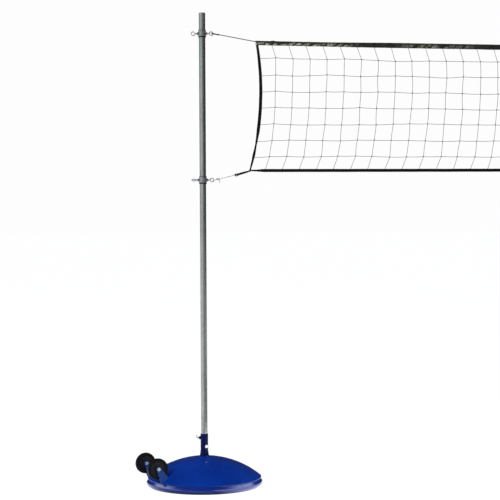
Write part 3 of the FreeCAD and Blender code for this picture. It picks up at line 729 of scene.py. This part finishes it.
def top_band():
    spine = []
    for x in net_places(TOP_HALF, int(2.0 * TOP_HALF / BAND_STEP)):
        spine.append((Vector((x, 0.0, headline_z(x) + BAND_ABOVE)), Vector((0, 0, -1))))
    profile = fold_profile(BAND_ABOVE + BAND_BELOW, fold_r=3.9 * MM, edge_r=2.3 * MM, wall=1.0 * MM)

    def rumple(point, s, y):
        x, face = point.x, face_of(y)
        free = clamped((s - 5.0 * MM) / (12.0 * MM))
        slack = smooth_noise(x * 6.0, face * 3.0, 1.7) * 1.7 * MM
        crease = smooth_noise(x * 34.0 + s * 45.0, s * 60.0, face * 7.0)
        crease = (0.35 - abs(crease)) * 1.6 * MM
        lump = smooth_noise(x * 17.0, s * 40.0, 5.0 + face) * 0.9 * MM
        bump = 3.0 * MM * math.exp(-((TOP_HALF - abs(x) - 0.097) / 0.008) ** 2)
        hem = smooth_noise(x * 11.0, face * 5.0, 8.0) * 1.3 * MM
        lift = (smooth_noise(x * 40.0, 2.0, 3.0) * 0.7 * MM + bump) * (1.0 - free)
        dip = end_dip(x) * (1.0 - clamped((s - 8.0 * MM) / (14.0 * MM)))
        sideways = slack * free + face * (crease + lump) * (0.35 + 0.65 * free)
        return dip - lift + hem * free, sideways

    band = folded_tape("headband", spine, lambda index: profile, rumple)
    piece = band.make(headband_vinyl(), "net", "head_tape", ["top_tape"])


def bottom_band(material):
    spine = []
    profiles = []
    for x in net_places(BOTTOM_HALF, int(2.0 * BOTTOM_HALF / HEM_STEP)):
        height = eased(BOTTOM_HALF - abs(x), HEM_HEIGHTS)
        spine.append((Vector((x, 0.0, bottom_z(x) - height / 2.0)), Vector((0, 0, 1))))
        profiles.append(fold_profile(height, fold_r=2.3 * MM, edge_r=1.6 * MM, wall=0.8 * MM))

    def rumple(point, s, y):
        wander = smooth_noise(point.x * 3.0, 0.0, 2.0) * 1.2 * MM
        ripple = smooth_noise(point.x * 26.0, s * 70.0, 6.5 + face_of(y) / 2.0) * 0.6 * MM
        return smooth_noise(point.x * 9.0, 4.0, 4.0) * 0.6 * MM, wander + ripple

    tape = folded_tape("bottom_tape_webbing", spine, lambda index: profiles[index], rumple)
    piece = tape.make(material, "net", "edge_tape", ["bottom_tape"])


def side_band(material):
    high = HEADLINE_END_Z - BAND_BELOW + 3.0 * MM
    low = BOTTOM_END_Z + 1.0 * MM
    line = []
    for index in range(SIDE_STEPS + 1):
        z = high + (low - high) * index / SIDE_STEPS
        line.append(at_left(side_gap(z), z))
    spine = []
    for index, point in enumerate(line):
        along = (line[min(index + 1, SIDE_STEPS)] - line[max(index - 1, 0)]).normalized()
        inward = Vector((-along.z, 0.0, along.x))
        twist = math.radians(eased(high - point.z, SIDE_TWIST))
        across = inward * math.cos(twist) + Vector((0, -1, 0)) * math.sin(twist)
        spine.append((point - across * (SIDE_WIDTH / 2.0), across))
    profile = fold_profile(SIDE_WIDTH, fold_r=1.9 * MM, edge_r=1.5 * MM, wall=0.8 * MM)

    def rumple(point, s, y):
        wave = smooth_noise(point.z * 14.0, s * 50.0, 2.5 + face_of(y) / 2.0) * 0.9 * MM
        return smooth_noise(point.z * 22.0, 3.0, 9.0) * 0.5 * MM, wave

    tape = folded_tape("side_tape", spine, lambda index: profile, rumple)
    for side, twin in tape.twins("_side_webbing"):
        piece = twin.make(material, "net", "edge_tape", [side + "_side_tape"])


# -------- netting

COLUMNS = 103
COLUMN_PITCH = 93.4 * MM
ROWS = 7
FIRST_ROW = 0.898               # share of the height from the bottom tape to the headband
ROW_STEP = 0.1328
TWINE_R = 1.25 * MM
KNOT_SIZES = (2.8 * MM, 2.7 * MM)
TOP_DRIFT = -22.0 * MM          # how far the outer columns' ends are pulled towards the post
BOTTOM_DRIFT = -64.0 * MM
ROW_SLACK = 1.2 * MM
ROW_END_DROP = 5.0 * MM         # a row meets the side tape this much lower than its last knot


def drift(row):
    """How far a row's knots are pulled towards the post at the net's end."""
    return -1.16 * MM * (row - 1.5) ** 2


class Netting:
    """Places of the knots, and the strands between them."""

    def __init__(self):
        self.random = random.Random(7)
        self.knots = {}
        for column in range(COLUMNS):
            for row in range(1, ROWS + 1):
                x = self.column_x(column, drift(row)) + self.random.gauss(0, 1.6 * MM)
                floor = bottom_z(x) + TAPE_HALF
                ceiling = headline_z(x) - BAND_BELOW
                share = FIRST_ROW - (row - 1) * ROW_STEP
                z = floor + (ceiling - floor) * share + self.random.gauss(0, 1.5 * MM)
                z += smooth_noise(x * 4.0, row * 2.7, 9.0) * 7.0 * MM
                y = smooth_noise(x * 0.9, z * 2.0, 0.0) * 5.0 * MM
                self.knots[column, row] = Vector((x, y, z))

    def column_x(self, column, shift):
        lean = math.cos(math.pi * column / (COLUMNS - 1))
        return (column - (COLUMNS - 1) / 2.0) * COLUMN_PITCH + lean * shift

    def slack(self, start, end, sag):
        """Points of one strand between two knots, with a little slack."""
        points = []
        bow = self.random.gauss(0, 0.9 * MM)
        for share in (0.34, 0.67):
            point = start.lerp(end, share)
            point.z -= sag * 4.0 * share * (1.0 - share)
            point.x += bow * share * (1.0 - share) * 4.0
            point.y += self.random.gauss(0, 0.6 * MM)
            points.append(point)
        return points

    def row_points(self, row):
        knots = [self.knots[column, row] for column in range(COLUMNS)]
        left, right = (at_left(side_gap(knot.z) + 2.0 * MM, knot.z - ROW_END_DROP)
                       for knot in (knots[0], knots[-1]))
        return self.through([left] + knots + [half_turn(right)], ROW_SLACK)

    def column_points(self, column):
        top_x = self.column_x(column, TOP_DRIFT)
        low_x = self.column_x(column, BOTTOM_DRIFT)
        top = Vector((top_x, 0.0, headline_z(top_x) - end_dip(top_x) - 4.0 * MM))
        hem = Vector((top_x, 0.0, headline_z(top_x) - BAND_BELOW))
        low = Vector((low_x, 0.0, bottom_z(low_x) - 1.0 * MM))
        rows = [self.knots[column, row] for row in range(1, ROWS + 1)]
        return self.through([top, hem] + rows + [low], 0.0)

    def through(self, stops, sag):
        """Points of a whole strand over its stops."""
        points = []
        for start, end in zip(stops, stops[1:]):
            points.append(start)
            points.extend(self.slack(start, end, sag))
        points.append(stops[-1])
        return points


def knot_ring(sculpt, centre, axis, radius):
    """Small ring of twine round a crossing, a little uneven. Its axis isn't along Y."""
    first = axis.cross(Vector((0, 1, 0))).normalized()
    second = axis.cross(first)
    points = []
    for angle in whole_turn(8):
        offset = first * math.cos(angle) + second * math.sin(angle)
        points.append(centre + offset * radius + axis * (0.35 * radius * math.sin(2.0 * angle)))
    sculpt.tube(points, TWINE_R, sides=5, closed=True)


def build_netting():
    net = Netting()
    twine = twine_nylon()
    strands = Sculpt("netting_twine")
    for row in range(1, ROWS + 1):
        strands.tube(net.row_points(row), TWINE_R, sides=6)
    for column in range(COLUMNS):
        strands.tube(net.column_points(column), TWINE_R, sides=6)
    strands.make(twine, "net", "net_cord", ["netting"])
    knots = Sculpt("netting_knots")
    for centre in net.knots.values():
        tilt = net.random.uniform(0.5, 0.9)
        tilts = ((math.sin(tilt), 0.3, math.cos(tilt)), (math.cos(tilt), -0.3, -math.sin(tilt)))
        for axis, size in zip(tilts, KNOT_SIZES):
            knot_ring(knots, centre, Vector(axis).normalized(), size)
    knots.make(twine, "net", "net_cord")


# -------- cords and straps

UPPER_RING_Z = 2.476
LOWER_RING_Z = 1.6755
RING_WIRE_GAP = 60.0 * MM       # post axis to the outer wire of a net-side ring
COLLAR_REACH = 21.0 * MM        # half the height of a collar
STRAP_END = (187.0 * MM, 1.704)
STRAP_LAP = 16.0 * MM           # how far a corner strap lies over the net's corner
CABLE_R = 2.5 * MM
CABLE_RUNS = 96
CABLE_LEAD = 0.03               # control points this far from the headband's end keep its bend short
SHEATH_R = 3.0 * MM
SHEATH_REACH = 0.0235           # how far the eye's sheath runs down the slope
TIE_R = 2.0 * MM

# In millimetres, as (down the slope, sideways): the eye of the headline round its ring,
# from the cut end to the straight part
HEADLINE_EYE = [(39, 5.2), (18, 5.2), (8, 7), (-7, 7), (-7, -7), (4, -7), (18, 0), (48, 0)]

# The crimp sleeve, in millimetres: it lies over both legs of the eye, which are 5.2 apart
SLEEVE_START, SLEEVE_LENGTH = 22.0, 13.0
SLEEVE_MIDDLE = 2.6
SLEEVE_THICK = 3.9
SLEEVE_PINCH = 0.75
SLEEVE_PINCHES = 3.0

# The knot at the ring, in millimetres: turns of the tie cord round its own line
WRAP_START, WRAP_LENGTH, WRAP_R = 16.5, 13.4, 4.55
WRAP_TURNS = 3
TURN_STEPS = 8
BIGHT_R = 8.2                   # half the width of the bight in the strap's loop

# The hitch that closes the bight, in millimetres
HITCH_BACK, HITCH_LENGTH = 3.0, 10.0
HITCH_Y_R, HITCH_V_R = 4.3, 5.6
HITCH_STEPS = 30

# The corner strap, in millimetres
STRAP_HALF_WIDTH = 5.8
STRAP_HALF_THICK = 0.65


class Slope:
    """Frame at a start point: u towards a target, v upwards across the slope, y as in the world."""

    def __init__(self, start, target):
        self.origin = start
        reach = target - start
        self.length = reach.length / MM
        self.along = reach.normalized()
        self.up = Vector((-self.along.z, 0.0, self.along.x))
        if self.up.z < 0:
            self.up = -self.up

    def point(self, u, y, v=0.0):
        """Millimetres in, metres out."""
        return self.origin + (self.along * u + self.up * v) * MM + Vector((0, y * MM, 0))


def spline_samples(points, steps=12):
    """Points on the open second-degree spline that Blender draws through a control polygon."""
    samples = [points[0]]
    last = len(points) - 1
    for index in range(1, last):
        before, after = points[index - 1], points[index + 1]
        start = before if index == 1 else (before + points[index]) / 2.0
        end = after if index == last - 1 else (points[index] + after) / 2.0
        for step in range(1, steps + 1):
            t = step / steps
            samples.append(start * (1 - t) ** 2 + points[index] * 2 * t * (1 - t) + end * t ** 2)
    return samples


def path_length(points):
    return sum((after - before).length for before, after in zip(points, points[1:]))


def add_cord(name, points, radius, material, stands_for, resolution=8):
    data = bpy.data.curves.new(name, "CURVE")
    data.dimensions = "3D"
    data.bevel_depth = radius
    data.bevel_resolution = 4
    data.use_fill_caps = True
    data.resolution_u = resolution
    spline = data.splines.new("NURBS")
    spline.points.add(len(points) - 1)
    for control, point in zip(spline.points, points):
        control.co = (*point, 1.0)
    spline.order_u = 3
    spline.use_endpoint_u = True
    data.materials.append(material)
    return hand_over(bpy.data.objects.new(name, data), "net", stands_for)


def headline_points(slope, eye):
    """Control points of the whole headline: the left eye, the sagging middle and the right eye."""
    corner = at_left(TOP_GAP, HEADLINE_END_Z - END_DIP)
    near_x = -TOP_HALF + CABLE_LEAD
    near = Vector((near_x, 0.0, headline_z(near_x) - END_DIP))
    left = eye + [corner - slope.along * CABLE_LEAD, corner, near]
    middle = [Vector((x, 0.0, headline_z(x) - end_dip(x)))
              for x in net_places(TOP_HALF, CABLE_RUNS)[1:-1]]
    return left + middle + [half_turn(point) for point in reversed(left)]


def build_headline(sleeve_paint):
    slope = Slope(at_left(RING_WIRE_GAP, UPPER_RING_Z), at_left(TOP_GAP, HEADLINE_END_Z))
    eye = [slope.point(u, y) for u, y in HEADLINE_EYE]
    points = headline_points(slope, eye)
    cable = add_cord("headline_cable", points, CABLE_R, cable_grey(), ["headline"])
    for side, sleeve in headline_sleeve(slope).twins("_crimp_sleeve"):
        hides = ["headline_sleeves"] if side == "left" else []
        sleeve.make(sleeve_paint, "net", "black_sleeve", hides)
    cover = spline_samples(eye, 10)
    cover = [p for p in cover if (p - slope.origin).dot(slope.along) < SHEATH_REACH][1:]
    for side, route in both_ends(cover):
        sheath = Sculpt(side + "_eye_sheath")
        sheath.tube(route, SHEATH_R, sides=12)
        sheath.make(sleeve_paint, "net", "black_sleeve")
    length = path_length(spline_samples(points))
    print("headline length %.3f" % length)
    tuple(points[0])


def headline_sleeve(slope):
    """Oval crimp sleeve over both legs of the eye, pinched in three places."""
    sculpt = Sculpt("sleeve")
    rings = []
    steps = 30
    for index in range(steps + 1):
        share = index / steps
        pinch = 0.5 - 0.5 * math.cos(2.0 * math.pi * SLEEVE_PINCHES * share)
        end = min(1.0, 8.0 * share, 8.0 * (1.0 - share))
        thick = (SLEEVE_THICK - SLEEVE_PINCH * pinch) * (0.82 + 0.18 * end)
        reach = SLEEVE_MIDDLE + 0.35 * pinch
        ring = []
        for angle in whole_turn(24):
            wide = math.cos(angle)
            y = SLEEVE_MIDDLE + math.copysign(reach, wide) + thick * wide
            ring.append(slope.point(SLEEVE_START + SLEEVE_LENGTH * share, y, thick * math.sin(angle)))
        rings.append(ring)
    sculpt.loft(rings)
    return sculpt


def tie_points(slope, knot_start):
    """Tie cord from its bight in the strap's loop, along its line and round the ring."""
    loop_u = slope.length + 5.0
    route = [
        (knot_start - 2, 0, -2.1), (knot_start + 4, 0, -2.4), (knot_start + 11, 0, -BIGHT_R),
        (loop_u, 0, -BIGHT_R), (loop_u, 0, BIGHT_R), (knot_start + 11, 0, BIGHT_R),
        (knot_start + 4, 0, 2.4), (knot_start - 6, 0, 2.0), (knot_start - 24, 0, 0),
        (60, 0, 0), (34, 0, 0), (24, 0, 0), (16, 1.2, 0), (5, 6.4, 0), (-6.4, 6.4, 0),
        (-6.4, -6.4, 0), (5, -6.4, 0), (13, -4.6, 0),
    ]
    steps = TURN_STEPS * WRAP_TURNS
    for step in range(1, steps + 1):
        angle = -math.pi / 2.0 - 2.0 * math.pi * step / TURN_STEPS
        u = WRAP_START + WRAP_LENGTH * step / steps
        route.append((u, WRAP_R * math.sin(angle), -WRAP_R * math.cos(angle)))
    route.extend([(31, -3.5, -5.0), (30, -2.5, -13.0), (27.5, -2.0, -24.0)])
    return [slope.point(*place) for place in route]


def hitch(slope, knot_start):
    """Two turns of cord and a tuck, which close the bight in the strap."""
    points = []
    for step in range(HITCH_STEPS + 1):
        angle = 2.0 * math.pi * step / 12.0
        u = knot_start - HITCH_BACK + HITCH_LENGTH * step / HITCH_STEPS
        points.append(slope.point(u, HITCH_Y_R * math.sin(angle), HITCH_V_R * math.cos(angle)))
    sculpt = Sculpt("hitch")
    sculpt.tube(points, TIE_R, sides=10)
    return sculpt


def build_tie_cords(whipping):
    paint = tie_line_braid()
    slope = Slope(at_left(RING_WIRE_GAP, LOWER_RING_Z), at_left(*STRAP_END))
    knot_start = slope.length - 9.0
    hitches = dict(hitch(slope, knot_start).twins("_tie_hitch"))
    for side, points in both_ends(tie_points(slope, knot_start)):
        cord = add_cord(side + "_tie_line", points, TIE_R, paint,
                        [side + "_tie_cord"], resolution=5)
        knot = hitches[side].make(whipping, "net", "black_sleeve", [side + "_tie_knots"])
        length = path_length(spline_samples(points))
        print(side, "tie cord length %.3f" % length)
        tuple(points[0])


def strap_route(reach):
    """Middle line of a strap, flat in the plane of (along, thickness), from the net outwards."""
    return [(0, -0.8), (reach * 0.5, -0.8), (reach - 17, -0.8), (reach - 9, -2.5), (reach - 3, -3.0),
            (reach + 0.6, 0.0), (reach - 3, 3.0), (reach - 9, 2.5), (reach - 17, 0.8), (reach - 44, 0.8)]


def build_straps(material):
    """Webbing strap, sewn back on itself with a loop at its outer end."""
    inner = at_left(BOTTOM_GAP + STRAP_LAP, BOTTOM_END_Z + 1.0 * MM)
    slope = Slope(inner, at_left(*STRAP_END))
    twists = [(0.0, 62.0), (slope.length * 0.55, 20.0), (slope.length, 0.0)]
    centre = spline_samples([Vector((u, y, 0.0)) for u, y in strap_route(slope.length)], 7)
    sculpt = Sculpt("strap")
    rings = []
    for index, place in enumerate(centre):
        before = centre[max(index - 1, 0)]
        after = centre[min(index + 1, len(centre) - 1)]
        run = (after - before).normalized()
        twist = math.radians(eased(place.x, twists))
        ring = []
        for angle in whole_turn(16):
            wide = STRAP_HALF_WIDTH * math.copysign(abs(math.cos(angle)) ** 0.35, math.cos(angle))
            thin = STRAP_HALF_THICK * math.copysign(abs(math.sin(angle)) ** 0.8, math.sin(angle))
            u = place.x - run.y * thin
            y = place.y + run.x * thin
            ring.append(slope.point(u, y * math.cos(twist) - wide * math.sin(twist),
                                    y * math.sin(twist) + wide * math.cos(twist)))
        rings.append(ring)
    sculpt.loft(rings)
    for side, twin in sculpt.twins("_strap_webbing"):
        twin.make(material, "net", "edge_tape", [side + "_corner_strap"])


# -------- standards

def paint_standards():
    """Gives every solid of the standards its material. Returns the two that the welds share."""
    blue = gloss_enamel("blue_enamel", (0.002, 0.026, 0.25), (0.0035, 0.040, 0.34), 0.2)
    rim = gloss_enamel("rim_enamel", (0.0015, 0.016, 0.20), (0.003, 0.032, 0.29), 1.0, coat=0.5)
    navy = gloss_enamel("socket_enamel", (0.0006, 0.003, 0.045), (0.001, 0.007, 0.09), 0.08)
    fork = gloss_enamel("fork_enamel", (0.006, 0.045, 0.27), (0.014, 0.08, 0.36), 0.5)
    shared = (
        (rim, "base_pan"), (blue, "base_dome"), (concrete(), "ballast"), (foot_rubber(), "floor_ring"),
        (navy, "socket_tube socket_collar socket_lock_nut"), (fork, "wheel_forks"),
        (galvanised_steel(), "post"), (collar_steel(), "upper_collar lower_collar"),
        (zinc_plate(), "socket_lock_screw socket_set_bolt wheel_axle_bolts wheel_axle_nuts "
                       "upper_net_eyebolt upper_free_eyebolt lower_net_eyebolt lower_free_eyebolt"),
        (wheel_rubber(), "front_wheel_tyre back_wheel_tyre"),
        (wheel_plastic(), "front_wheel_hub back_wheel_hub"),
    )
    for material, names in shared:
        for name in names.split():
            for side in ("left_", "right_"):
                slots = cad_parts[side + name].data.materials
                slots.clear()
                slots.append(material)
    return blue, fork


# Millimetres, from the foot of a post
DOME_TOP_Z = 157.0
DOME_EDGE_Z = 47.0
DOME_EDGE_R = 313.0
DOME_RISE = DOME_TOP_Z - DOME_EDGE_Z
DOME_R = (DOME_EDGE_R ** 2 + DOME_RISE ** 2) / (2.0 * DOME_RISE)
WHEEL_BEARING = math.radians(202.0)
WHEEL_SPREAD = 106.0            # bearing line to the middle of each wheel
FORK_FACES = (12.2, 17.8)       # a wheel's middle to both faces of a fork plate
BEAD_RING_R, BEAD_R = 30.2, 2.0
BEAD_STEPS = 144
BEAD_RIPPLES = 29.0
SEAM_START, SEAM_LENGTH = 253.0, 36.0
SEAM_R = 1.9
SEAM_STEPS = 30
SEAM_RIPPLES = 12


def dome_z(radius):
    radius = min(radius, DOME_EDGE_R)
    return DOME_TOP_Z - DOME_R + math.sqrt(DOME_R ** 2 - radius ** 2)


def seam_width(share):
    return SEAM_R * MM * (1.0 + 0.16 * math.sin(2.0 * math.pi * SEAM_RIPPLES * share))


def collar_bead(foot):
    """Points of the bead round a socket's weld collar."""
    points = []
    for angle in whole_turn(BEAD_STEPS):
        radius = BEAD_RING_R + 0.35 * math.sin(angle * BEAD_RIPPLES)
        place = Vector((radius * math.cos(angle), radius * math.sin(angle), dome_z(radius) + 0.9))
        points.append(foot + place * MM)
    return points


def fork_seam(foot, bearing, along):
    """Points of the bead along one foot of a fork plate, on the dome."""
    points = []
    for step in range(SEAM_STEPS + 1):
        rho = SEAM_START + SEAM_LENGTH * step / SEAM_STEPS
        x = rho * math.cos(bearing) - along * math.sin(bearing)
        y = rho * math.sin(bearing) + along * math.cos(bearing)
        points.append(foot + Vector((x, y, dome_z(math.hypot(rho, along)) + 0.6)) * MM)
    return points


def build_welds(blue, fork):
    """Weld beads: round the socket's collar and along the feet of the fork plates."""
    near, far = FORK_FACES
    for side, sign, spin in (("left", -1.0, 0.0), ("right", 1.0, math.pi)):
        foot = Vector((sign * HALF_SPACING, 0.0, 0.0))
        bead = Sculpt(side + "_collar_weld")
        bead.tube(collar_bead(foot), BEAD_R * MM, closed=True)
        bead.make(blue, "bases", "blue_paint")
        seams = Sculpt(side + "_fork_welds")
        for wheel in (-WHEEL_SPREAD, WHEEL_SPREAD):
            for face in (-far, -near, near, far):
                seams.tube(fork_seam(foot, WHEEL_BEARING + spin, wheel + face), seam_width, sides=7)
        seams.make(fork, "bases", "fork_paint")


# -------- the whole scene

add_camera()
add_world()
add_stage()
add_softboxes()
webbing = black_webbing()
sleeve_paint = sleeve_black()
build_headline(sleeve_paint)
build_tie_cords(sleeve_paint)
dome_paint, fork_paint = paint_standards()
top_band()
bottom_band(webbing)
side_band(webbing)
build_netting()
build_straps(webbing)
build_welds(dome_paint, fork_paint)
bpy.context.scene.view_settings.view_transform = "Standard"
